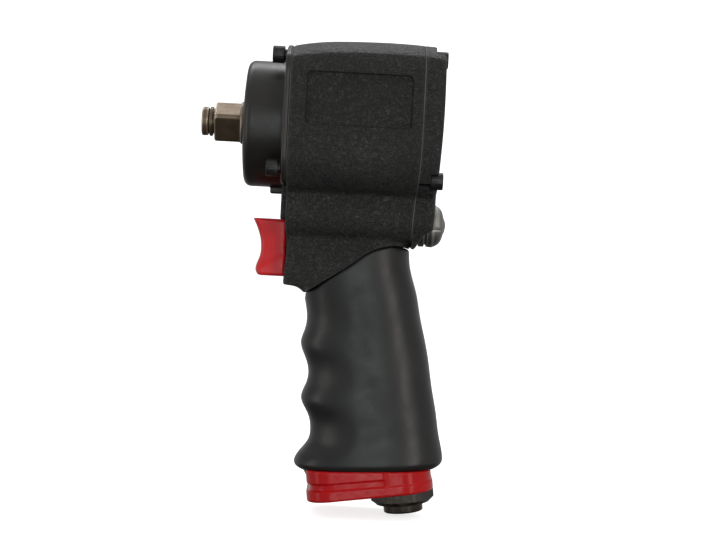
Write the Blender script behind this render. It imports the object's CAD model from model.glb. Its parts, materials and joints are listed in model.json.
"""The finished look of a stubby half-inch air impact wrench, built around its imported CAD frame.

Lengths in this file are millimetres in the part's own frame: X runs rearwards along the drive axis from
the tip of the anvil, Z is up and Y is across. Meshes are scaled to metres as they are made. The cast,
moulded and machined shells are written as signed distance fields and turned into meshes, so that every
edge has its real fillet.
"""
import json
import math

import bmesh
import bpy
import numpy as np
from mathutils import Matrix, Vector


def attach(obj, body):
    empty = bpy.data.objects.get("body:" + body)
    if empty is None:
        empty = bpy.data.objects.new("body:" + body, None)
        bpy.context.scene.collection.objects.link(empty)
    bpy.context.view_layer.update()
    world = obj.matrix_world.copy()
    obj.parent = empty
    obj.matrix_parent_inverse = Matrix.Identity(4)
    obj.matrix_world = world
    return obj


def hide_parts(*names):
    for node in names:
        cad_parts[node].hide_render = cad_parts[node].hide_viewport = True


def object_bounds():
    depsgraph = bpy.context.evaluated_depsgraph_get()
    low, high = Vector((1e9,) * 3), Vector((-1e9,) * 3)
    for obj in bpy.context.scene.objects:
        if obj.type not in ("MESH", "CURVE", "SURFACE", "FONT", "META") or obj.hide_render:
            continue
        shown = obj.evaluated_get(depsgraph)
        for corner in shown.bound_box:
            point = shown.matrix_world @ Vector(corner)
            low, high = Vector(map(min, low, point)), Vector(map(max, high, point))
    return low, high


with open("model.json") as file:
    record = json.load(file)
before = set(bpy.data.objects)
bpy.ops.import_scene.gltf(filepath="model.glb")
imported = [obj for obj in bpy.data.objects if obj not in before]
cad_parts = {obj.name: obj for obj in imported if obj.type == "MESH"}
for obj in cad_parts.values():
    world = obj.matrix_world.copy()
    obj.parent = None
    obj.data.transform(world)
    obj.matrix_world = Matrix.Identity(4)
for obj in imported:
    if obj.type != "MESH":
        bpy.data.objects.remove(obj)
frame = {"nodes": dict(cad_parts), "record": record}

CAD_BOX = [list(corner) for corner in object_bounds()]
MM = 0.001
COARSE = 1.0          # voxel size multiplier while trying things

# ------------------------ main places, shared with the CAD
BODY_FRONT, BODY_SIDE = 37.5, 33.0
FRONT_SCREWS = [(16.5, 27.9), (-16.5, 27.9), (27.0, -18.6), (-27.0, -18.6)]
REAR_SCREWS = [(16.5, 28.8), (-16.5, 28.8), (26.8, -20.7), (-26.8, -20.7)]
KNOB_Z = -38.7
TRIGGER_Z = -51.0
RAKE = math.radians(7.5)
BASE_X, BASE_Z = 78.0, -151.8
INLET_U = 13.6


# ------------------------ smooth curves
class Curve:
    """A natural cubic spline through hand-placed knots, straight beyond its ends."""

    def __init__(self, *knots):
        self.at, self.value = (np.array(column, float) for column in zip(*sorted(knots)))
        gap = np.diff(self.at)
        rise = np.diff(self.value) / gap
        count = len(self.at)
        system = np.eye(count)
        load = np.zeros(count)
        for i in range(1, count - 1):
            system[i, i - 1:i + 2] = gap[i - 1], 2 * (gap[i - 1] + gap[i]), gap[i]
            load[i] = 6 * (rise[i] - rise[i - 1])
        self.bend = np.linalg.solve(system, load)
        self.start = rise[0] - gap[0] * self.bend[1] / 6
        self.end = rise[-1] + gap[-1] * self.bend[-2] / 6

    def __call__(self, t):
        t = np.asarray(t, float)
        i = np.clip(np.searchsorted(self.at, t) - 1, 0, len(self.at) - 2)
        left, right = self.at[i], self.at[i + 1]
        gap = right - left
        a, b = (right - t) / gap, (t - left) / gap
        inside = (a * self.value[i] + b * self.value[i + 1]
                  + ((a ** 3 - a) * self.bend[i] + (b ** 3 - b) * self.bend[i + 1]) * gap ** 2 / 6)
        before = self.value[0] + self.start * (t - self.at[0])
        after = self.value[-1] + self.end * (t - self.at[-1])
        return np.where(t < self.at[0], before, np.where(t > self.at[-1], after, inside))

    def side(self, t, height):
        """Distance to the curve, negative above it."""
        slope = (self(t + 0.05) - self(t - 0.05)) / 0.1
        return (self(t) - height) / np.sqrt(1 + slope ** 2)


def ramp(t, start, end):
    s = np.clip((t - start) / (end - start), 0, 1)
    return s * s * (3 - 2 * s)


# ------------------------ distance fields
def join(a, b, fillet=0.0):
    if not fillet:
        return np.minimum(a, b)
    h = np.clip(0.5 + 0.5 * (b - a) / fillet, 0, 1)
    return b + (a - b) * h - fillet * h * (1 - h)


def meet(a, b, edge=0.0):
    return -join(-a, -b, edge)


def cut(a, b, edge=0.0):
    return meet(a, -b, edge)


def corner(a, b, radius):
    """Two surfaces that meet at a true round edge of this radius."""
    a, b = a + radius, b + radius
    outside = np.hypot(np.maximum(a, 0), np.maximum(b, 0))
    return outside + np.minimum(np.maximum(a, b), 0) - radius


def slab(t, low, high):
    return np.abs(t - (low + high) / 2) - (high - low) / 2


def rectangle(u, v, u0, u1, v0, v1, radius):
    return corner(slab(u, u0, u1), slab(v, v0, v1), radius)


def box(x, y, z, spans, radius=0.3):
    flat = rectangle(x, y, *spans[0], *spans[1], radius)
    return corner(flat, slab(z, *spans[2]), radius)


def rod(along, a, b, start, end, radius, edge=0.3):
    return corner(np.hypot(a, b) - radius, slab(along, start, end), edge)


# ------------------------ fields into meshes
def grid_surface(field, low, high, step):
    """Vertices and outward quads of field = 0 inside a box, one vertex to each cell it crosses."""
    axes = [np.arange(a - 1.5 * step, b + 2.5 * step, step) for a, b in zip(low, high)]
    sizes = tuple(len(axis) for axis in axes)
    x, y, z = axes[0][:, None, None], axes[1][None, :, None], axes[2][None, None, :]
    value = np.broadcast_to(field(x, y, z), sizes)
    inside = value < 0
    cells = tuple(n - 1 for n in sizes)
    count = np.zeros(cells, np.int8)
    offsets = [(i, j, k) for i in (0, 1) for j in (0, 1) for k in (0, 1)]
    for i, j, k in offsets:
        count += inside[i:i + cells[0], j:j + cells[1], k:k + cells[2]]
    active = np.argwhere((count > 0) & (count < 8))
    number = np.full(cells, -1, np.int64)
    number[tuple(active.T)] = np.arange(len(active))
    place = np.zeros((len(active), 3))
    hits = np.zeros(len(active))
    for start in offsets:
        for axis in range(3):
            if start[axis]:
                continue
            end = tuple(c + (axis == i) for i, c in enumerate(start))
            f0 = value[tuple((active + start).T)]
            f1 = value[tuple((active + end).T)]
            crossed = (f0 < 0) != (f1 < 0)
            t = np.where(crossed, f0 / np.where(crossed, f0 - f1, 1), 0)
            point = np.array(start, float) + t[:, None] * (np.array(end) - np.array(start))
            place += point * crossed[:, None]
            hits += crossed
    corner_at = np.stack([axes[i][0] + step * active[:, i] for i in range(3)], axis=1)
    vertices = corner_at + step * place / hits[:, None]
    quads = []
    for axis in range(3):
        b, c = (axis + 1) % 3, (axis + 2) % 3
        first = np.take(inside, range(sizes[axis] - 1), axis)
        second = np.take(inside, range(1, sizes[axis]), axis)
        edge = np.argwhere(first != second)
        for across in (b, c):
            edge = edge[(edge[:, across] > 0) & (edge[:, across] < cells[across])]
        step_b, step_c = np.eye(3, dtype=int)[b], np.eye(3, dtype=int)[c]
        around = [edge, edge - step_b, edge - step_b - step_c, edge - step_c]
        quad = np.stack([number[tuple(cell.T)] for cell in around], axis=1)
        leaving = inside[tuple(edge.T)]
        quads.append(np.where(leaving[:, None], quad, quad[:, ::-1]))
    return vertices, np.concatenate(quads)


def gradient(field, points, reach=0.03):
    slopes = []
    for axis in range(3):
        shift = np.zeros(3)
        shift[axis] = reach
        ahead, behind = (field(*(points + side * shift).T) for side in (1, -1))
        slopes.append((ahead - behind) / (2 * reach))
    return np.stack(slopes, axis=1)


def settle(field, points, step, rounds=3):
    """Moves each point onto the field's zero surface."""
    for _ in range(rounds):
        slope = gradient(field, points)
        length = np.maximum((slope ** 2).sum(1), 0.05)
        move = -(field(*points.T) / length)[:, None] * slope
        size = np.maximum(np.linalg.norm(move, axis=1), 1e-9)
        points = points + move * np.minimum(1, 0.6 * step / size)[:, None]
    return points


def edge_measure(field, points, reach=0.7):
    """How convex the surface is here: 0 on a flat, towards 1 on an outside edge."""
    around = -6 * field(*points.T)
    for axis in range(3):
        for side in (-1, 1):
            shift = np.zeros(3)
            shift[axis] = side * reach
            around = around + field(*(points + shift).T)
    return np.clip(around / reach * 0.9, 0, 1)


def make_object(name, vertices, faces, sharp=None):
    mesh = bpy.data.meshes.new(name)
    mesh.from_pydata((np.asarray(vertices) * MM).tolist(), [], [list(map(int, f)) for f in faces])
    shape = bmesh.new()
    shape.from_mesh(mesh)
    if shape.calc_volume(signed=True) < 0:
        mesh.flip_normals()
    shape.free()
    mesh.shade_smooth()
    if sharp:
        mesh.set_sharp_from_angle(angle=math.radians(sharp))
    mesh.validate()
    piece = bpy.data.objects.new(name, mesh)
    bpy.context.scene.collection.objects.link(piece)
    return piece


def shell(name, field, low, high, step, to_part=None):
    """A closed piece from a distance field. to_part moves its points into the part's frame."""
    step = step * COARSE
    vertices, quads = grid_surface(field, low, high, step)
    vertices = settle(field, vertices, step)
    edges = edge_measure(field, vertices)
    piece = make_object(name, vertices if to_part is None else to_part(vertices), quads)
    wear = piece.data.attributes.new("edge", "FLOAT", "POINT")
    wear.data.foreach_set("value", edges.astype(np.float32))
    return piece


def from_handle(points):
    """The handle's frame (u rearwards, y, w up the rake) into the part's frame."""
    u, y, w = np.asarray(points).T
    return np.stack([BASE_X + u * math.cos(RAKE) - w * math.sin(RAKE), y,
                     BASE_Z + u * math.sin(RAKE) + w * math.cos(RAKE)], axis=1)


def carve(piece, cutters, added=()):
    """Joins the added pieces to a finished shell, then cuts its bores and holes."""
    for operation, parts in (("UNION", added), ("DIFFERENCE", cutters)):
        for part in parts:
            change = piece.modifiers.new("carve", "BOOLEAN")
            change.operation = operation
            change.solver = "MANIFOLD"
            change.object = part
    bpy.context.view_layer.update()
    graph = bpy.context.evaluated_depsgraph_get()
    done = bpy.data.meshes.new_from_object(piece.evaluated_get(graph))
    piece.modifiers.clear()
    piece.data = done
    for part in [*cutters, *added]:
        bpy.data.objects.remove(part, do_unlink=True)


def mark_sharp(piece, chosen):
    """Keeps a crisp edge between every two neighbours that chosen(x, y, z) both name alike."""
    mesh = piece.data
    places = np.empty(len(mesh.vertices) * 3)
    mesh.vertices.foreach_get("co", places)
    names = chosen(*(places.reshape(-1, 3).T / MM))
    ends = np.empty(len(mesh.edges) * 2, int)
    mesh.edges.foreach_get("vertices", ends)
    first, second = names[ends.reshape(-1, 2)].T
    if "sharp_edge" not in mesh.attributes:
        mesh.attributes.new("sharp_edge", "BOOLEAN", "EDGE")
    mesh.attributes["sharp_edge"].data.foreach_set("value", (first == second) & (first > 0))


# ------------------------ turned pieces
def filleted(profile, radius, steps=4):
    """A profile of (along, radius, hex) corners with each inner corner rounded."""
    out = [profile[0]]
    for before, here, after in zip(profile, profile[1:], profile[2:]):
        p, q, r = (np.array(point[:2], float) for point in (before, here, after))
        a, b = p - q, r - q
        la, lb = np.linalg.norm(a), np.linalg.norm(b)
        reach = min(radius, la * 0.45, lb * 0.45)
        start, end = q + a / la * reach, q + b / lb * reach
        for i in range(steps + 1):
            t = i / steps
            point = (1 - t) ** 2 * start + 2 * t * (1 - t) * q + t * t * end
            out.append((point[0], point[1], here[2] if len(here) > 2 else None))
    out.append(profile[-1])
    return out


def turned(name, profile, segments=96, place=None, closed=False, sharp=50):
    """A piece turned about its own axis. A ring with a third value is a hexagon of that width across
    flats, trimmed to the ring's radius."""
    vertices, faces, rings = [], [], []
    for ring in profile:
        along, radius = ring[0], ring[1]
        flat = ring[2] if len(ring) > 2 else None
        if radius < 1e-6:
            rings.append([len(vertices)])
            vertices.append((along, 0, 0))
            continue
        rings.append(range(len(vertices), len(vertices) + segments))
        for i in range(segments):
            angle = 2 * math.pi * i / segments
            fold = angle % (math.pi / 3) - math.pi / 6
            here = min(radius, flat / 2 / math.cos(fold)) if flat else radius
            vertices.append((along, here * math.cos(angle), here * math.sin(angle)))
    pairs = list(zip(rings, rings[1:])) + ([(rings[-1], rings[0])] if closed else [])
    for first, second in pairs:
        for i in range(segments):
            j = (i + 1) % segments
            if len(first) == 1:
                faces.append((first[0], second[i], second[j]))
            elif len(second) == 1:
                faces.append((first[i], second[0], first[j]))
            else:
                faces.append((first[i], second[i], second[j], first[j]))
    vertices = np.array(vertices, float)
    if place is not None:
        vertices = place(vertices)
    return make_object(name, vertices, faces, sharp)


def up_handle(offset_u):
    """Lays a piece turned about X along the handle's axis."""
    return lambda points: from_handle(np.asarray(points)[:, [1, 2, 0]] + (offset_u, 0, 0))


def cylinder(start, end, radius, y=0.0, z=0.0, segments=64):
    """A cutter along X."""
    profile = [(start, 0), (start, radius), (end, radius), (end, 0)]
    return turned("cutter", profile, segments, lambda points: points + (0, y, z))


def block(x0, x1, y0, y1, z0, z1, place=None):
    """A cutter with flat sides."""
    corners = np.array([(x, y, z) for x in (x0, x1) for y in (y0, y1) for z in (z0, z1)], float)
    sides = [(0, 1, 3, 2), (4, 6, 7, 5), (0, 4, 5, 1), (2, 3, 7, 6), (0, 2, 6, 4), (1, 5, 7, 3)]
    return make_object("cutter", corners if place is None else place(corners), sides)


def stack(levels):
    """A closed piece through rings of (x, z) points, each at its own y from low to high."""
    count = len(levels[0][1])
    vertices = [(x, y, z) for y, ring in levels for x, z in ring]
    faces = [tuple(range(count)), tuple(reversed(range(len(vertices) - count, len(vertices))))]
    for k in range(len(levels) - 1):
        for i in range(count):
            j = (i + 1) % count
            faces.append((k * count + j, k * count + i, (k + 1) * count + i, (k + 1) * count + j))
    return make_object("cutter", vertices, faces)


# ------------------------ materials
def node(tree, kind, inputs=None, **settings):
    made = tree.nodes.new(kind)
    for key, value in settings.items():
        setattr(made, key, value)
    for key, value in (inputs or {}).items():
        if isinstance(value, bpy.types.NodeSocket):
            tree.links.new(value, made.inputs[key])
        else:
            made.inputs[key].default_value = value
    return made


def noise(tree, at, scale, detail=3.0, rough=0.55, distortion=0.0):
    """A noise field of so many waves to the millimetre."""
    inputs = {"Vector": at, "Scale": scale, "Detail": detail, "Roughness": rough}
    inputs["Distortion"] = distortion
    return node(tree, "ShaderNodeTexNoise", inputs).outputs["Fac"]


def remap(tree, value, low, high, new_low, new_high):
    inputs = {"Value": value, "From Min": low, "From Max": high, "To Min": new_low, "To Max": new_high}
    return node(tree, "ShaderNodeMapRange", inputs).outputs["Result"]


def blend_colours(tree, factor, first, second):
    mix = node(tree, "ShaderNodeMix", data_type="RGBA")
    for socket, value in ((mix.inputs[0], factor), (mix.inputs[6], first), (mix.inputs[7], second)):
        if isinstance(value, bpy.types.NodeSocket):
            tree.links.new(value, socket)
        else:
            socket.default_value = value
    return mix.outputs[2]


def bumped(tree, height, strength, distance, below=None):
    inputs = {"Height": height, "Strength": strength, "Distance": distance * MM}
    if below is not None:
        inputs["Normal"] = below
    return node(tree, "ShaderNodeBump", inputs).outputs["Normal"]


def start_material(name, metallic=0.0, specular=0.5, sheen=0.0):
    """A new material with its shader, and object coordinates in millimetres."""
    material = bpy.data.materials.new(name)
    material.use_nodes = True
    tree = material.node_tree
    shader = tree.nodes["Principled BSDF"]
    shader.inputs["Metallic"].default_value = metallic
    shader.inputs["Specular IOR Level"].default_value = specular
    shader.inputs["Sheen Weight"].default_value = sheen
    where = node(tree, "ShaderNodeTexCoord").outputs["Object"]
    at = node(tree, "ShaderNodeMapping", {"Vector": where, "Scale": (1 / MM,) * 3}).outputs["Vector"]
    return material, tree, shader, at


def grey(value):
    return (value, value, value, 1.0)


def edge_of(tree):
    """The convexity that shell() left on each vertex, for worn edges."""
    return node(tree, "ShaderNodeAttribute", attribute_name="edge").outputs["Fac"]


def spread_roughness(tree, shader, clouds, low, high):
    """Lets the gloss wander between two roughnesses, as handling leaves it."""
    tree.links.new(remap(tree, clouds, 0.3, 0.7, low, high), shader.inputs["Roughness"])


def wrinkle_paint(name, dark, light, roughness):
    """Black wrinkle-finish paint: worm-like ridges a millimetre apart, with finer grain on them."""
    material, tree, shader, at = start_material(name, specular=0.4)
    warp = noise(tree, at, 0.55, 2, 0.5)
    ridges = noise(tree, at, 1.05, 2.5, 0.6, 1.3)
    grain = noise(tree, at, 3.4, 3, 0.6, 0.4)
    ridge = remap(tree, ridges, 0.38, 0.62, 0, 1)
    patch = noise(tree, at, 0.045, 3, 0.5)
    fine = remap(tree, grain, 0.4, 0.65, 0, 1)
    speck = node(tree, "ShaderNodeMath", {0: ridge, 1: fine}, operation="MULTIPLY")
    tone = blend_colours(tree, speck.outputs[0], dark, light)
    tone = blend_colours(tree, remap(tree, patch, 0.35, 0.65, 0, 0.35), tone, dark)
    worn = blend_colours(tree, remap(tree, edge_of(tree), 0.25, 1, 0, 0.35), tone, grey(0.09))
    tree.links.new(worn, shader.inputs["Base Color"])
    spread_roughness(tree, shader, warp, roughness - 0.07, roughness + 0.09)
    low = bumped(tree, ridge, 1.0, 0.34)
    tree.links.new(bumped(tree, grain, 0.8, 0.18, low), shader.inputs["Normal"])
    return material


def satin_paint(name, colour, roughness, lines=0.0):
    """Smooth satin paint over a turned casting, with the faintest turning marks."""
    material, tree, shader, at = start_material(name)
    patch = noise(tree, at, 0.06, 3)
    lighter = tuple(min(1, c * 1.5) for c in colour[:3]) + (1,)
    tone = blend_colours(tree, remap(tree, patch, 0.35, 0.65, 0, 0.6), colour, lighter)
    worn = blend_colours(tree, remap(tree, edge_of(tree), 0.3, 1, 0, 0.25), tone, grey(0.1))
    tree.links.new(worn, shader.inputs["Base Color"])
    smear = noise(tree, at, 0.25, 4, 0.6)
    spread_roughness(tree, shader, smear, roughness - 0.06, roughness + 0.08)
    fine = noise(tree, at, 1.2, 3, 0.5)
    normal = bumped(tree, fine, 0.05, 0.02)
    if lines:
        stretched = node(tree, "ShaderNodeMapping", {"Vector": at, "Scale": (6.0, 0.02, 0.02)})
        marks = noise(tree, stretched.outputs["Vector"], 1.0, 2)
        normal = bumped(tree, marks, lines, 0.006, normal)
    tree.links.new(normal, shader.inputs["Normal"])
    return material


def rubber(name, dark, light, roughness):
    """Satin moulded rubber with a fine leathery grain and slightly shinier handled areas."""
    material, tree, shader, at = start_material(name, specular=0.42)
    patch = noise(tree, at, 0.035, 3)
    tone = blend_colours(tree, remap(tree, patch, 0.3, 0.7, 0, 1), dark, light)
    tree.links.new(tone, shader.inputs["Base Color"])
    cloud = noise(tree, at, 0.12, 4, 0.6)
    spread_roughness(tree, shader, cloud, roughness - 0.05, roughness + 0.07)
    fine = noise(tree, at, 3.0, 3, 0.6)
    wide = noise(tree, at, 0.3, 2, 0.5)
    normal = bumped(tree, fine, 0.16, 0.03, bumped(tree, wide, 0.1, 0.12))
    tree.links.new(normal, shader.inputs["Normal"])
    return material


def moulded_plastic(name, colour, shade, roughness, specular=0.5):
    """Glossy moulded plastic with faint flow clouds and a slightly uneven skin."""
    material, tree, shader, at = start_material(name, specular=specular)
    patch = noise(tree, at, 0.08, 3)
    tone = blend_colours(tree, remap(tree, patch, 0.3, 0.7, 0, 0.6), colour, shade)
    tree.links.new(tone, shader.inputs["Base Color"])
    cloud = noise(tree, at, 0.4, 4, 0.6)
    spread_roughness(tree, shader, cloud, roughness - 0.05, roughness + 0.07)
    fine = noise(tree, at, 1.6, 2, 0.5)
    wide = noise(tree, at, 0.12, 2, 0.5)
    normal = bumped(tree, fine, 0.05, 0.015, bumped(tree, wide, 0.08, 0.2))
    tree.links.new(normal, shader.inputs["Normal"])
    return material


def metal(name, dark, light, roughness, scratch=0.15, metallic=1.0, scale=1.0, worn=None):
    """Machined or cast metal: tone patches, fine pits, and brushed marks along X."""
    material, tree, shader, at = start_material(name, metallic=metallic)
    patch = noise(tree, at, 0.12 * scale, 4, 0.6)
    tone = blend_colours(tree, remap(tree, patch, 0.35, 0.65, 0, 1), dark, light)
    if worn is not None:
        tone = blend_colours(tree, remap(tree, edge_of(tree), 0.35, 0.9, 0, 0.8), tone, worn)
    tree.links.new(tone, shader.inputs["Base Color"])
    cloud = noise(tree, at, 0.7 * scale, 4, 0.6)
    spread_roughness(tree, shader, cloud, roughness - 0.08, roughness + 0.1)
    brushed = node(tree, "ShaderNodeMapping", {"Vector": at, "Scale": (5.0, 0.25, 0.25)})
    marks = noise(tree, brushed.outputs["Vector"], 1.0, 3, 0.6)
    pits = noise(tree, at, 2.6 * scale, 3, 0.6)
    normal = bumped(tree, marks, scratch, 0.04, bumped(tree, pits, scratch, 0.05))
    tree.links.new(normal, shader.inputs["Normal"])
    return material


def felt(name):
    """Pressed felt: curled fibres over a pale and a dark grey."""
    material, tree, shader, at = start_material(name, specular=0.2, sheen=0.3)
    fibres = noise(tree, at, 1.6, 5, 0.7, 1.5)
    tone = blend_colours(tree, remap(tree, fibres, 0.3, 0.7, 0, 1), grey(0.12), grey(0.34))
    tree.links.new(tone, shader.inputs["Base Color"])
    shader.inputs["Roughness"].default_value = 0.95
    tree.links.new(bumped(tree, fibres, 0.8, 0.4), shader.inputs["Normal"])
    return material


# One look for each of the record's material slots, and one more for the exhaust base.
MATERIALS = {
    "housing_paint": wrinkle_paint("wrinkle_black", grey(0.008), (0.118, 0.118, 0.113, 1), 0.45),
    "nose_paint": satin_paint("satin_black", (0.014, 0.013, 0.011, 1), 0.36, 0.25),
    "screw_steel": metal("black_oxide", grey(0.025), grey(0.07), 0.4, 0.3, 0.85),
    "grip_rubber": rubber("grip_rubber", grey(0.012), (0.018, 0.019, 0.019, 1), 0.36),
    "red_plastic": moulded_plastic("red_plastic", (0.80, 0.026, 0.032, 1), (0.66, 0.012, 0.018, 1),
                                   0.3, 0.4),
    "red_base": moulded_plastic("red_base", (0.55, 0.006, 0.008, 1), (0.42, 0.003, 0.005, 1),
                                0.2, 0.22),
    "drive_steel": metal("drive_steel", (0.125, 0.088, 0.054, 1), (0.20, 0.145, 0.092, 1),
                         0.38, 0.2, 0.7, worn=(0.55, 0.5, 0.43, 1)),
    "knob_metal": metal("cast_knob", (0.19, 0.18, 0.165, 1), (0.27, 0.26, 0.24, 1),
                        0.45, 0.3, scale=1.6, worn=(0.7, 0.69, 0.66, 1)),
    "inlet_steel": metal("inlet_steel", (0.022, 0.018, 0.015, 1), (0.055, 0.047, 0.04, 1),
                         0.36, 0.3, 0.9),
    "tool_steel": metal("tool_steel", grey(0.33), grey(0.5), 0.3, 0.25),
    "cast_plate": metal("cast_plate", grey(0.12), grey(0.22), 0.5, 0.4),
    "brass": metal("brass", (0.42, 0.28, 0.09, 1), (0.6, 0.43, 0.17, 1), 0.32, 0.2),
    "seal_rubber": rubber("seal_rubber", grey(0.008), grey(0.014), 0.5),
    "gasket_fibre": rubber("gasket_fibre", grey(0.07), grey(0.12), 0.6),
    "vane_fibre": moulded_plastic("vane_fibre", (0.13, 0.06, 0.03, 1), (0.09, 0.04, 0.02, 1), 0.6),
    "felt": felt("muffler_felt"),
}


def finish(piece, slot, body, *replaced, look=None):
    """Gives a piece its material, its body, its slot and the CAD nodes it stands for."""
    piece.data.materials.clear()
    piece.data.materials.append(MATERIALS[look or slot])
    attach(piece, body)
    if replaced:
        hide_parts(*replaced)


# ------------------------ curves of the body
CROWN = Curve((36, 32.8), (40.7, 33.9), (44, 34.5), (51, 35.4), (57, 35.8), (66, 36.1), (84, 36.1),
              (96, 35.5))
SEAM = Curve((-50, 89.2), (-43, 89.4), (-38, 89.5), (-30, 90.0), (-22, 90.6), (-10, 91.2),
             (0, 91.3), (37, 91.2))
SLEEVE_TOP = Curve((47.1, -69.0), (54.7, -63.7), (60.3, -60.0), (65.8, -56.1), (70.2, -52.6),
                   (74.7, -50.0), (79.6, -48.5), (84.3, -48.1), (87.8, -48.9))
THROAT = Curve((37.0, -65.9), (39.9, -66.1), (42.1, -66.3), (44.5, -67.2), (46.3, -68.6),
               (47.3, -69.6), (49.0, -71.8))
NECK_WIDTH = Curve((-72, 18.6), (-62, 18.9), (-55, 18.5), (-49, 16.9), (-45, 15.7), (-40, 15.4))
DOME = 80.0                  # radius of the crown across the tool
BARREL_BOTTOM, FLANGE_BOTTOM = -27.5, -25.2
GALLERY_Z, GALLERY = -35.2, (21.6, 11.5, 10.5)         # its middle; half width, half height, corners
NECK_X, NECK_HALF = 64.4, 26.9
PANEL = (44.2, 86.4, -0.4, 20.4)             # x and z limits of the side panel's flat
PANEL_RADIUS, PANEL_DEPTH, PANEL_BEVEL = 2, 1.1, 0.42
GASKET = 0.25                # half the thickness of the rear gasket
FRONT_BORE, MOTOR_BORE = 26.8, 25
VALVE_BORE, TRIGGER_BORE = 8.3, 4.8          # across the body: reversing valve and trigger pin
SCREW_HOLE, REAR_THREAD = 2.6, 2.3
INLET_BORE, AIR_BORE, THROTTLE_BORE = 8.8, 8.3, 7.5    # up the handle, from its foot
SLEEVE_WALL, CORE_GAP = 2.1, 0.3


def corner_box(u, v, half_u, half_v, radius):
    """A rectangle about the origin, whose corner radius may change from place to place."""
    a, b = np.abs(u) - half_u + radius, np.abs(v) - half_v + radius
    outside = np.hypot(np.maximum(a, 0), np.maximum(b, 0))
    return outside + np.minimum(np.maximum(a, b), 0) - radius


def housing_section(y, z, top):
    """The body's cross-section: flat sides, round shoulders, a low dome on top and a tuck below."""
    middle, half = (top + BARREL_BOTTOM) / 2, (top - BARREL_BOTTOM) / 2
    radius = np.where(z > middle, 14.0, 16.0)
    sides = corner_box(y, z - middle, BODY_SIDE, half, radius)
    dome = np.hypot(y, z - top + DOME) - DOME
    return meet(sides, dome, 1.5)


def body_outline(x, y, z):
    """The barrel with the air gallery slung under it, seen end on."""
    barrel = housing_section(y, z, CROWN(x))
    gallery = corner_box(y, z - GALLERY_Z, *GALLERY)
    return join(barrel, gallery, 4.0)


def front_face(z):
    """The front of the neck is drawn back a little behind the trigger."""
    return BODY_FRONT + 0.9 * np.exp(-((z + 52) / 8) ** 2)


def housing_field(x, y, z):
    """The barrel and the neck below it. The neck has tight corners in front and wide ones behind."""
    neck = corner_box(x - NECK_X, y, NECK_HALF, NECK_WIDTH(z), np.where(x < 60, 4.0, 12.0))
    neck = corner(neck, slab(z, -75, -36), 3)
    neck = corner(neck, SLEEVE_TOP.side(x, z) + 0.15, 0.5)
    neck = corner(neck, THROAT.side(x, z), 0.9)
    whole = join(body_outline(x, y, z), neck, 2.2)
    whole = corner(whole, np.maximum(front_face(z) - x, x - SEAM(z) + GASKET), 0.5)
    lip = corner(rectangle(x, z, 35.2, 42, -39.3, -25.0, 0.5), np.abs(y) - 17, 1.5)
    return join(whole, lip, 0.5)


def panel_outline(grow):
    """The panel's rounded outline, grown by this much, as (x, z) points."""
    x0, x1, z0, z1 = PANEL
    left, right = x0 + PANEL_RADIUS, x1 - PANEL_RADIUS
    low, high = z0 + PANEL_RADIUS, z1 - PANEL_RADIUS
    ring = []
    for cx, cz, start in ((right, high, 0), (left, high, 90), (left, low, 180), (right, low, 270)):
        for step in range(9):
            t = math.radians(start + 90 * step / 8)
            reach = PANEL_RADIUS + grow
            ring.append((cx + reach * math.cos(t), cz + reach * math.sin(t)))
    return ring


def panel_cutter(side):
    """A plug for one side's panel recess, widening outwards along the bevel."""
    outside = panel_outline(PANEL_BEVEL * (1 + 2 / PANEL_DEPTH))
    levels = [(BODY_SIDE - PANEL_DEPTH, panel_outline(0)), (BODY_SIDE, panel_outline(PANEL_BEVEL)),
              (BODY_SIDE + 2, outside)]
    return stack([(side * y, ring) for y, ring in levels][::side])


def panel_edges(x, y, z):
    """Names the rim (1) and the foot (2) of the panel's bevel."""
    edge = rectangle(x, z, *PANEL, PANEL_RADIUS)
    rim = (np.abs(edge - PANEL_BEVEL) < 0.03) & (np.abs(np.abs(y) - BODY_SIDE) < 0.06)
    foot = (np.abs(edge) < 0.03) & (np.abs(np.abs(y) - BODY_SIDE + PANEL_DEPTH) < 0.03)
    return rim * 1 + foot * 2


def housing():
    piece = shell("housing_shell", housing_field, (34, -34, -71), (92.5, 34, 37.5), 0.55)
    trigger_well = block(30, 44.6, -9.9, 9.9, -63.5, -39.5)
    pockets = [cylinder(36, 58, FRONT_BORE), cylinder(57, 61, 20), cylinder(60, 93, MOTOR_BORE),
               cylinder(61, 93, VALVE_BORE, z=KNOB_Z), cylinder(40, 71, TRIGGER_BORE, z=TRIGGER_Z),
               trigger_well]
    pockets += [cylinder(33, 52, SCREW_HOLE, y, z, 32) for y, z in FRONT_SCREWS]
    pockets += [cylinder(78, 93, REAR_THREAD, y, z, 32) for y, z in REAR_SCREWS]
    stem_slot = block(70, 87, -4.5, 4.5, -56, -47.6)
    below_handle = block(-40, 40, -25, 25, -30, 6, from_handle)
    pockets += [stem_slot, below_handle]
    pockets += [turned("cutter", [(a, 0), (a, r), (b, r), (b, 0)], 48, up_handle(INLET_U))
                for a, b, r in ((-2, 22.8, INLET_BORE), (22, 84, AIR_BORE), (83, 102.4, THROTTLE_BORE))]
    exhaust_ducts = [block(-2, 6, y0, y0 + 3.8, 0, 131, from_handle) for y0 in (-13, 9.2)]
    pockets += exhaust_ducts + [panel_cutter(1), panel_cutter(-1)]
    carve(piece, pockets, [handle_core("core", SLEEVE_WALL + CORE_GAP, -50, 0)])
    mark_sharp(piece, panel_edges)
    finish(piece, "housing_paint", "housing", "motor_housing")


# ------------------------ hammer case
NOSE_FACE = Curve((0, 17.8), (12, 17.9), (18, 18.1), (22, 18.5))
NOSE_RADIUS, SPIGOT_END = 26.2, 42
FLANGE, FLANGE_TOP = (35.1, 37.15), 33.5
HAMMER_ROOM = (15.5, 23.4)   # the ring-shaped cavity round the front bearing boss


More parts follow.
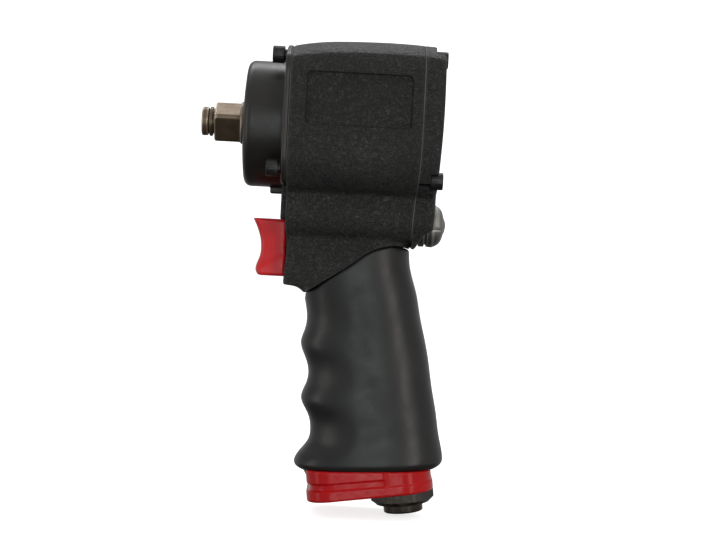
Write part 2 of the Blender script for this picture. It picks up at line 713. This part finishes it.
def ear_frame(y, z, sy, sz):
    """Distances from a screw: outwards along the line from the drive axis, and across that line."""
    reach = math.hypot(sy, sz)
    return (y * sy + z * sz) / reach - reach, (y * sz - z * sy) / reach


def hammer_case_field(x, y, z):
    r = np.hypot(y, z)
    body = corner(r - NOSE_RADIUS, NOSE_FACE(r) - x, 2.6)
    body = np.maximum(body, x - SPIGOT_END)
    outline = meet(housing_section(y, z, FLANGE_TOP) + 0.25, FLANGE_BOTTOM - z, 3.0)
    flange = corner(outline, slab(x, *FLANGE), 0.55)
    lug = box(x, y, z, ((29.8, 36), (-3.2, 3.2), (-28.9, -24)), 0.8)
    return join(join(body, flange, 1.2), lug, 0.8)


def hammer_case():
    piece = shell("hammer_case_shell", hammer_case_field, (17, -34, -30), (SPIGOT_END, 34, 34), 0.5)
    cutters = [cylinder(10, 25, 9.6), cylinder(17.9, 50, 12.3)]
    inner, outer = HAMMER_ROOM
    room = [(23.5, inner), (23.5, outer), (44, outer), (44, inner)]
    cutters += [turned("cutter", room, 64, closed=True), cylinder(33, 44, inner + 0.3)]
    cutters += [cylinder(32, 38, SCREW_HOLE, y, z, 32) for y, z in FRONT_SCREWS]
    carve(piece, cutters)
    finish(piece, "nose_paint", "housing", "hammer_case")


# ------------------------ rear cover
COVER_REAR = Curve((-46, 97.6), (-40, 98.1), (-30, 98.5), (-16, 98.9), (-3, 99.5), (20, 99.6),
                   (34, 99.3))
COVER_HEEL = Curve((86, -49.8), (89.3, -49.2), (91.0, -48.4), (92.6, -45.8), (94.8, -42.6),
                   (96.6, -41.5), (100, -41.2))


COVER_STEP_Z, COVER_STEP_X = 30.4, 96.0
SCREW_POCKET, POCKET_FLOOR = 4.6, 95.6
KNOB_RECESS, RECESS_FLOOR = 10.0, 92.6


def rear_cover_field(x, y, z):
    tongue = corner_box(y, z + 36, 17.4, 16.0, 5.0)
    outline = join(body_outline(x, y, z), tongue, 3.0)
    whole = corner(outline, x - COVER_REAR(z), 1.8)
    whole = corner(whole, SEAM(z) + GASKET - x, 0.35)
    whole = corner(whole, COVER_HEEL.side(x, z), 1.0)
    whole = cut(whole, np.maximum(COVER_STEP_Z - z, COVER_STEP_X - x), 0.8)
    for sy, sz in REAR_SCREWS:
        along, across = ear_frame(y, z, sy, sz)
        pocket = np.hypot(np.minimum(along, 0), across) - SCREW_POCKET
        whole = cut(whole, np.maximum(pocket, POCKET_FLOOR - x), 0.6)
    recess = np.hypot(y, z - KNOB_Z) - KNOB_RECESS
    return cut(whole, np.maximum(recess, RECESS_FLOOR - x), 0.5)


def rear_cover():
    piece = shell("rear_cover_shell", rear_cover_field, (88.5, -34, -50), (101, 34, 37.5), 0.48)
    cutters = [cylinder(80, 97.2, 24), cylinder(80, 104, VALVE_BORE, z=KNOB_Z)]
    cutters += [cylinder(80, 104, SCREW_HOLE, y, z, 32) for y, z in REAR_SCREWS]
    carve(piece, cutters)
    finish(piece, "housing_paint", "housing", "rear_cover")


# ------------------------ gaskets
def gasket(name, outline, face, half, inset, node_name):
    """A thin band that follows an outline round the drive axis, at x = face(z)."""
    angle = np.linspace(0, 2 * math.pi, 300, endpoint=False)
    reach = np.linspace(60, 8, 400)
    y, z = reach[:, None] * np.cos(angle), reach[:, None] * np.sin(angle)
    first = np.argmax(outline(y, z) < 0, axis=0)
    low, high = reach[first], reach[np.maximum(first - 1, 0)]
    for _ in range(12):
        middle = (low + high) / 2
        inside = outline(middle * np.cos(angle), middle * np.sin(angle)) < 0
        low, high = np.where(inside, middle, low), np.where(inside, high, middle)
    rings = []
    for radius, side in ((low - inset, -half), (low - inset, half), (low - 4, half), (low - 4, -half)):
        y, z = radius * np.cos(angle), radius * np.sin(angle)
        rings.append(np.stack([face(z) + side, y, z], axis=1))
    count = len(angle)
    faces = [(a * count + i, b * count + i, b * count + (i + 1) % count, a * count + (i + 1) % count)
             for a, b in ((0, 1), (1, 2), (2, 3), (3, 0)) for i in range(count)]
    piece = make_object(name, np.concatenate(rings), faces, 40)
    finish(piece, "gasket_fibre", "housing", node_name)


def gaskets():
    """Both follow the finished body's outline, which is rounder on top than the CAD's."""

    def front_outline(y, z):
        return meet(housing_section(y, z, FLANGE_TOP - 0.2), FLANGE_BOTTOM - z, 3.0)

    def rear_outline(y, z):
        return np.maximum(body_outline(91.2, y, z), COVER_HEEL.side(90.5, z))

    gasket("front_gasket", front_outline, lambda z: 37.34 + 0 * z, 0.15, 0.55, "hammer_case_gasket")
    gasket("rear_gasket", rear_outline, SEAM, GASKET - 0.02, 0.08, "rear_cover_gasket")


# ------------------------ grip sleeve
GRIP_FRONT = Curve((-60, 44.0), (-66, 45.3), (-72.8, 46.8), (-79.5, 47.9), (-85, 47.2),
                   (-90.2, 45.9), (-96.3, 47.9), (-102.8, 49.6), (-108, 48.7), (-113.4, 47.1),
                   (-119.8, 50.0), (-126.4, 51.6), (-132, 50.6), (-136.7, 47.2), (-141, 45.3),
                   (-146, 47.0))
GRIP_BACK = Curve((-45, 88.8), (-50.4, 89.3), (-57.1, 90.1), (-67, 93.1), (-77, 95.3), (-87, 97.9),
                  (-97, 100.1), (-107, 101.9), (-117, 104.1), (-127, 105.9), (-133.6, 107.5),
                  (-138, 107.9), (-146, 106.5))
GRIP_RIDGE = Curve((-60, 44.0), (-72.8, 46.3), (-90.2, 45.9), (-113.4, 47.1), (-136, 46.6),
                   (-146, 46.0))
GRIP_WIDTH = Curve((-45, 18.4), (-60, 18.8), (-80, 18.2), (-100, 17.9), (-120, 18.0), (-132, 18.4),
                   (-140, 19.4), (-146, 19.6))
ROUNDNESS = 2.75             # exponent of the sleeve's oval: 2 is an ellipse
FOOT_FRONT, FOOT_SLOPE = (55, -146.5), 0.1323          # the core's foot, seen from the side
GRIP_FOOT = Curve((45, -144.4), (52, -144.0), (103, -141.1), (110, -140.7))


def grip_form(x, y, z):
    """The sleeve's sides alone: a squarish oval, pinched in beside the finger valleys."""
    front, back = GRIP_FRONT(z), GRIP_BACK(z)
    middle, half = (front + back) / 2, (back - front) / 2
    valley = np.clip(front - GRIP_RIDGE(z), 0, 6)
    near_front = 1 - ramp(x, front + 2, front + 20)
    width = GRIP_WIDTH(z) - 0.42 * valley * near_front
    along, across = np.abs((x - middle) / half), np.abs(y / width)
    size = (along ** ROUNDNESS + across ** ROUNDNESS) ** (1 / ROUNDNESS)
    return (size - 1) * np.minimum(half, width)


def handle_core(name, inset, top, deeper):
    """The cast handle inside the sleeve: the sleeve's own form drawn in by this much, from a height
    down to the handle's foot or a little deeper."""

    def field(x, y, z):
        foot = FOOT_SLOPE * (x - FOOT_FRONT[0]) + FOOT_FRONT[1] - deeper
        return corner(grip_form(x, y, z) + inset, np.maximum(z - top, foot - z), 0.5)
    return shell(name, field, (43, -21, -153), (110, 21, top + 2), 0.7)


def grip_field(x, y, z):
    body = corner(grip_form(x, y, z), -SLEEVE_TOP.side(x, z) + 0.2, 0.7)
    body = np.where(x < 47, corner(body, z + 71.0, 0.9), body)
    return corner(body, GRIP_FOOT(x) - z, 4.5)


def grip_sleeve():
    piece = shell("grip_rubber_sleeve", grip_field, (43, -21, -147), (110, 21, -46), 0.56)
    stem_relief = block(80, 88.3, -4.5, 4.5, -57, -40)
    carve(piece, [handle_core("cutter", SLEEVE_WALL, -42, 4), stem_relief])
    finish(piece, "grip_rubber", "housing", "grip_sleeve")


# ------------------------ trigger
TRIGGER_FRONT = Curve((-66, 27.4), (-62.8, 26.0), (-61.0, 25.3), (-59.2, 25.4), (-54.9, 26.8),
                      (-51.1, 27.1), (-47.7, 26.7), (-43.7, 25.4), (-39.9, 23.6), (-37, 21.9))


TRIGGER_BACK, TRIGGER_HALF = 38.0, 9.5
TRIGGER_TOP, TRIGGER_FOOT = -39.4, -63.0


def trigger_field(x, y, z):
    outline = corner(TRIGGER_FRONT(z) + 0.012 * y ** 2 - x, x - TRIGGER_BACK, 0.5)
    outline = corner(outline, slab(z, TRIGGER_FOOT, TRIGGER_TOP), 0.4)
    toe = np.where((x < 27.8) & (z < -60.3), np.hypot(x - 27.8, z + 60.3) - 2.6, -9)
    outline = np.maximum(outline, toe)
    hollow = 0.9 * np.exp(-((z + 50) / 8.5) ** 2) * (1 - ramp(x, 27, 36))
    crease = 0.5 * ramp((x - 26) * 0.5 - (z + 58.5), -0.8, 3.0)
    body = corner(outline, np.abs(y) - TRIGGER_HALF + hollow + 0.5 - crease, 1.4)
    return cut(body, rod(x, y, z - TRIGGER_Z, 33, 42, 2.7), 0.2)


def trigger():
    piece = shell("trigger_blade", trigger_field, (22, -10.5, -64), (39, 10.5, -38.5), 0.3)
    finish(piece, "red_plastic", "trigger", "trigger")


# ------------------------ reversing knob
KNOB_DOME = Curve((0, 103.9), (1.5, 103.7), (3.0, 103.1), (5.0, 102.5), (6.5, 101.8), (7.5, 100.9),
                  (8.4, 99.4), (9.2, 97.6), (11, 93))


KNOB_RADIUS = 9.2


def knob_field(x, y, z):
    r = np.hypot(y, z - KNOB_Z)
    cap = corner(r - KNOB_RADIUS, np.maximum(95.9 - x, x - KNOB_DOME(r)), 0.5)
    lug = np.maximum(np.maximum(97.4 - x, (x - KNOB_DOME(r - 0.5)) * 0.7), r - 9.3)
    lug = corner(lug, z + 40.5, 0.25)
    hub = corner(r - KNOB_RADIUS, slab(x, 92.8, 95.2), 0.3)
    neck = np.maximum(r - 8.3, slab(x, 93, 98))
    whole = np.minimum(join(cap, lug, 0.15), np.minimum(hub, neck))
    return cut(whole, rod(x, y, z - KNOB_Z, 90, 97.2, 3.6, 0.1), 0.1)


def reverse_knob():
    low, high = (92.5, -10, KNOB_Z - 10), (104.5, 10, KNOB_Z + 10)
    piece = shell("reverse_knob_cap", knob_field, low, high, 0.26)
    finish(piece, "knob_metal", "reverser", "reverse_knob")


# ------------------------ anvil and friction ring
SQUARE_ROLL = math.radians(-13)
HALF_SQUARE = 6.35           # half-inch drive


def anvil_field(x, y, z):
    r = np.hypot(y, z)
    a = y * math.cos(SQUARE_ROLL) + z * math.sin(SQUARE_ROLL)
    b = z * math.cos(SQUARE_ROLL) - y * math.sin(SQUARE_ROLL)
    u, v = (a + b) / math.sqrt(2), (a - b) / math.sqrt(2)
    tip = corner(r - 6.0, slab(x, 0, 2.8), 0.7)
    neck = corner(r - 5.0, slab(x, 1, 8), 0.1)
    square = corner(np.abs(u) - HALF_SQUARE, np.abs(v) - HALF_SQUARE, 0.3)
    square = meet(square, r - 8.35, 0.5)
    square = corner(square, slab(x, 5.4, 18.0), 0.5)
    square = meet(square, r - 7.7 - (x - 5.4) * 1.1, 0.3)
    shoulder = corner(r - 8.9, slab(x, 16.3, 33.3), 0.6)
    shoulder = cut(shoulder, np.maximum(8.0 - r, slab(x, 20, 22)), 0.1)
    collar = corner(r - 13, slab(x, 33.4, 36), 0.3)
    core = corner(r - 7.5, slab(x, 34, 52.6), 0.3)
    pilot = corner(r - 6, slab(x, 50, 55), 0.5)
    angle = np.arctan2(z, y) + math.radians(145)
    lobe = corner(r - 10.4, np.abs(angle) * r - 3.2, 0.4)
    lobe = np.maximum(lobe, slab(x, 41.5, 52.4))
    whole = np.minimum(np.minimum(tip, neck), join(square, shoulder, 0.8))
    return np.minimum(np.minimum(whole, collar), np.minimum(join(core, lobe, 0.4), pilot))


def anvil():
    piece = shell("square_drive_anvil", anvil_field, (-0.5, -13.5, -13.5), (55.5, 13.5, 13.5), 0.33)
    finish(piece, "drive_steel", "anvil", "anvil")


def friction_ring():
    """An open wire ring in the groove behind the drive's tip, its gap at the top."""
    x, radius, thick, gap_degrees = 3.95, 5.75, 0.72, 12
    steps, sides = 88, 14
    vertices, faces = [], []
    start = math.pi / 2 + math.radians(gap_degrees / 2)
    sweep = 2 * math.pi - math.radians(gap_degrees)
    for i in range(steps + 1):
        angle = start + sweep * i / steps
        for j in range(sides):
            t = 2 * math.pi * j / sides
            r = radius + thick * 0.62 * math.cos(t)
            vertices.append((x + thick * math.sin(t), r * math.cos(angle), r * math.sin(angle)))
    for i in range(steps):
        for j in range(sides):
            k = (j + 1) % sides
            faces.append((i * sides + j, (i + 1) * sides + j, (i + 1) * sides + k, i * sides + k))
    faces.append(tuple(range(sides)))
    faces.append(tuple(reversed(range(steps * sides, (steps + 1) * sides))))
    piece = make_object("friction_ring_wire", vertices, faces, 60)
    finish(piece, "drive_steel", "anvil", "friction_ring")


# ------------------------ screws
FRONT_HEADS, REAR_HEADS = 29.0, 100.6                  # where the screw heads end
HEAD, SHANK, THREAD_ROOT, SOCKET = 3.5, 2.2, 1.9, 4.0


def cap_screw(name, x, y, z, facing):
    """A socket-head cap screw whose head faces the front (-1) or the rear (+1)."""
    profile = [(2.6, 0.0), (2.6, 2.31, SOCKET), (0.35, 2.31, SOCKET), (0.0, 2.55)]
    profile += filleted([(0.0, 2.55), (0.0, HEAD), (5.0, HEAD), (5.0, SHANK)], 0.7, 5)[1:]
    thread = [(x0 + 5.4 + 0.35, r) for i in range(22)
              for x0, r in ((0.75 * i, SHANK), (0.75 * i + 0.3, THREAD_ROOT))]
    profile += thread[:-1] + [(22.0, 1.7), (22.0, 0.0)]

    def place(points):
        points = np.asarray(points, float)
        knurl = 1 + 0.022 * np.cos(np.arctan2(points[:, 2], points[:, 1]) * 24)
        along, out = points[:, 0], np.hypot(points[:, 1], points[:, 2])
        on_head = (along > 0.5) & (along < 4.7) & (out > 3.3)
        points[:, 1:] *= np.where(on_head, knurl, 1)[:, None]
        if facing > 0:
            points = points * (-1, -1, 1)
        return points + (x, y, z)

    return turned(name, profile, 96, place, sharp=40)


def screws():
    for i, (y, z) in enumerate(FRONT_SCREWS, 1):
        front = cap_screw(f"front_cap_screw_{i}", FRONT_HEADS, y, z, -1)
        finish(front, "screw_steel", "housing", f"hammer_case_screw_{i}")
    for i, (y, z) in enumerate(REAR_SCREWS, 1):
        rear = cap_screw(f"rear_cap_screw_{i}", REAR_HEADS, y, z, 1)
        finish(rear, "screw_steel", "housing", f"rear_cover_screw_{i}")


# ------------------------ base: deflector and inlet
BASE_HALF_LENGTH, BASE_HALF_WIDTH = 26.5, 19.0
BASE_TOP, BASE_TILT = 10.6, 0.083
BASE_SCREW_U = -14
EXHAUST_SLOTS = (-12, -8.5, -5, 5, 8.5, 12)
HEX, COLLAR, SHANK_END = 23.0, 8.25, 20.6              # the inlet: across flats, radius, top


def base_outline(u, y, inset):
    radius = np.where(u > 0, 13.0, 10.0) - inset
    return corner_box(u - 0.2, y, BASE_HALF_LENGTH - inset, BASE_HALF_WIDTH - inset, radius)


def deflector_field(u, y, w):
    """A plate with a waisted band above it, deeper in front of the rib than behind it."""
    front = 1 - ramp(u, 6.2, 6.9)
    behind = ramp(u, 7.5, 8.2)
    above_plate = ramp(w, 3.5, 4.3)
    waist = above_plate * (1 - ramp(w, 6.4, 7.0))
    waist = waist * front * (0.3 + 0.9 * (1 - ramp(u, -25, -14)))
    inset = above_plate * (0.1 + 0.4 * behind + 0.35 * front) + waist
    low = -0.45 + 0.016 * u
    ends = np.maximum(low - w, w - BASE_TOP + u * BASE_TILT)
    whole = corner(base_outline(u, y, inset), ends, 0.8)
    tray = corner(corner_box(u, y, 23.4, 15.5, np.where(u > 0, 11.0, 8.0)), 2.5 - w, 0.3)
    whole = cut(whole, tray, 0.2)
    whole = cut(whole, np.hypot(u - INLET_U, y) - INLET_BORE, 0.2)
    for lane in EXHAUST_SLOTS:
        slot = corner_box(u + 12, y - lane, 9, 1.0, 0.9)
        whole = cut(whole, np.maximum(slot, w - 4), 0.3)
    head_room = rod(w, u - BASE_SCREW_U, y, -2, 1.4, 3.2, 0.1)
    return cut(cut(whole, head_room, 0.2), np.hypot(u - BASE_SCREW_U, y) - 1.8, 0.1)


def deflector():
    low, high = (-27, -20, -1.2), (27.5, 20, 13.5)
    piece = shell("exhaust_base", deflector_field, low, high, 0.36, from_handle)
    finish(piece, "red_plastic", "housing", "exhaust_deflector", look="red_base")


def inlet():
    """The collar, the hexagon and the shank that screws up into the handle, threaded inside."""
    thread = [(-9.3 + 0.65 * i, 5.6 + (0.32 if i % 2 else 0.0)) for i in range(23)]
    ring = filleted([(-9.7, 6.3), (-9.7, COLLAR), (-6.1, COLLAR)], 0.7, 4)[1:]
    corners = [(-6.1, COLLAR), (-6.1, 11.0), (-4.4, 13.3), (-0.9, 13.3), (-0.3, 12.6), (-0.3, 8.4)]
    nut = filleted([(along, radius, HEX) for along, radius in corners], 0.3, 3)
    shank = [(12, 8.4), (12, 7.4), (14, 7.4), (14, 8.4), (SHANK_END, 8.4), (SHANK_END, 5.6)]
    profile = [(-9.7, 6.3)] + ring + nut[1:] + shank + list(reversed(thread))
    piece = turned("inlet_hex_bushing", profile, 120, up_handle(INLET_U), closed=True, sharp=35)
    finish(piece, "inlet_steel", "housing", "inlet_bushing")


# ------------------------ carried-over CAD nodes
def dress_cad_nodes():
    slots = {row["node"]: row["material_slot"] for row in frame["record"]["subparts"]}
    for name, piece in frame["nodes"].items():
        piece.data.materials.clear()
        piece.data.materials.append(MATERIALS[slots[name]])


# ------------------------ camera, lights and floor
DISTANCE = 700.0
AIM = Vector((66.9, 0.0, -60.6)) * MM
EYE = Vector((66.9, -DISTANCE, -33.0)) * MM
ROLL = math.radians(3.0)
FRAME_WIDTH = 297.8          # what the view takes in across the drive axis's plane


def camera():
    data = bpy.data.cameras.new("camera")
    data.sensor_width = 36.0
    data.lens = data.sensor_width * DISTANCE / FRAME_WIDTH
    data.clip_start, data.clip_end = 0.01, 20
    made = bpy.data.objects.new("camera", data)
    forward = (AIM - EYE).normalized()
    right = forward.cross(Vector((0, 0, 1))).normalized()
    up = right.cross(forward)
    side = right * math.cos(ROLL) + up * math.sin(ROLL)
    top = up * math.cos(ROLL) - right * math.sin(ROLL)
    turn = Matrix((side, top, -forward)).transposed().to_4x4()
    made.matrix_world = Matrix.Translation(EYE) @ turn
    bpy.context.scene.collection.objects.link(made)
    bpy.context.scene.camera = made


def area_light(name, place, aim, size, power, colour=(1, 1, 1)):
    data = bpy.data.lights.new(name, "AREA")
    data.shape = "RECTANGLE"
    data.size, data.size_y = size
    data.energy = power
    data.color = colour
    made = bpy.data.objects.new(name, data)
    made.location = place
    made.rotation_euler = (Vector(aim) - Vector(place)).to_track_quat("-Z", "Y").to_euler()
    bpy.context.scene.collection.objects.link(made)


def stage_plane(name, corners, glow):
    """Part of the white sweep: it's seen, but throws no light back on the tool."""
    mesh = bpy.data.meshes.new(name)
    mesh.from_pydata(corners, [], [(0, 1, 2, 3)])
    piece = bpy.data.objects.new(name, mesh)
    bpy.context.scene.collection.objects.link(piece)
    material, tree, shader, at = start_material(name)
    shader.inputs["Base Color"].default_value = grey(0.85)
    shader.inputs["Roughness"].default_value = 0.9
    shader.inputs["Emission Color"].default_value = grey(1.0)
    shader.inputs["Emission Strength"].default_value = glow
    mesh.materials.append(material)
    piece.visible_diffuse = piece.visible_glossy = False


# Brightness of the tent against the sine of its height above the horizon.
TENT = ((-0.8, 0.08), (-0.5, 0.16), (-0.3, 0.62), (0.22, 0.68), (0.27, 0.44), (0.56, 0.42),
        (0.62, 0.6), (0.7, 0.62))


def world_light():
    """A soft grey tent: bright round the horizon, with a darker belt above it and dark underneath."""
    world = bpy.data.worlds.new("studio")
    world.use_nodes = True
    tree = world.node_tree
    where = node(tree, "ShaderNodeTexCoord").outputs["Generated"]
    height = node(tree, "ShaderNodeSeparateXYZ", {"Vector": where}).outputs["Z"]
    level = remap(tree, height, -1, 1, 0, 1)
    ramp_node = node(tree, "ShaderNodeValToRGB", {"Fac": level})
    stops = ramp_node.color_ramp.elements
    stops[0].position, stops[0].color = 0.0, grey(0.10)
    stops[1].position, stops[1].color = 1.0, grey(0.75)
    for sine, value in TENT:
        stops.new((sine + 1) / 2).color = grey(value)
    tree.links.new(ramp_node.outputs["Color"], tree.nodes["Background"].inputs["Color"])
    tree.nodes["Background"].inputs["Strength"].default_value = 0.82
    bpy.context.scene.world = world


def studio():
    floor = CAD_BOX[0][2] - 0.0002
    stage_plane("floor", [(-4, -4, floor), (4, -4, floor), (4, 3, floor), (-4, 3, floor)], 0.75)
    stage_plane("backdrop", [(-4, 3, floor), (4, 3, floor), (4, 3, 4), (-4, 3, 4)], 1.0)
    world_light()
    area_light("overhead", (0.05, 0.5, 0.7), (0.06, 0, 0.0), (1.0, 0.14), 3.0)
    area_light("front", (0.11, -1.25, -0.12), (0.07, 0, -0.07), (0.15, 0.95), 2.4, (0.90, 0.98, 1.0))
    area_light("left_strip", (-0.85, -0.5, -0.05), (0.07, 0, -0.08), (0.34, 0.9), 1.5, (1.0, 0.97, 0.9))
    area_light("right_strip", (0.62, -0.78, 0.0), (0.07, 0, -0.08), (0.2, 0.9), 2.5, (1.0, 0.92, 0.84))
    bpy.context.scene.view_settings.view_transform = "Standard"


# ------------------------ the wrench
camera()
studio()
dress_cad_nodes()
housing()
hammer_case()
rear_cover()
gaskets()
grip_sleeve()
trigger()
reverse_knob()
anvil()
friction_ring()
screws()
deflector()
inlet()
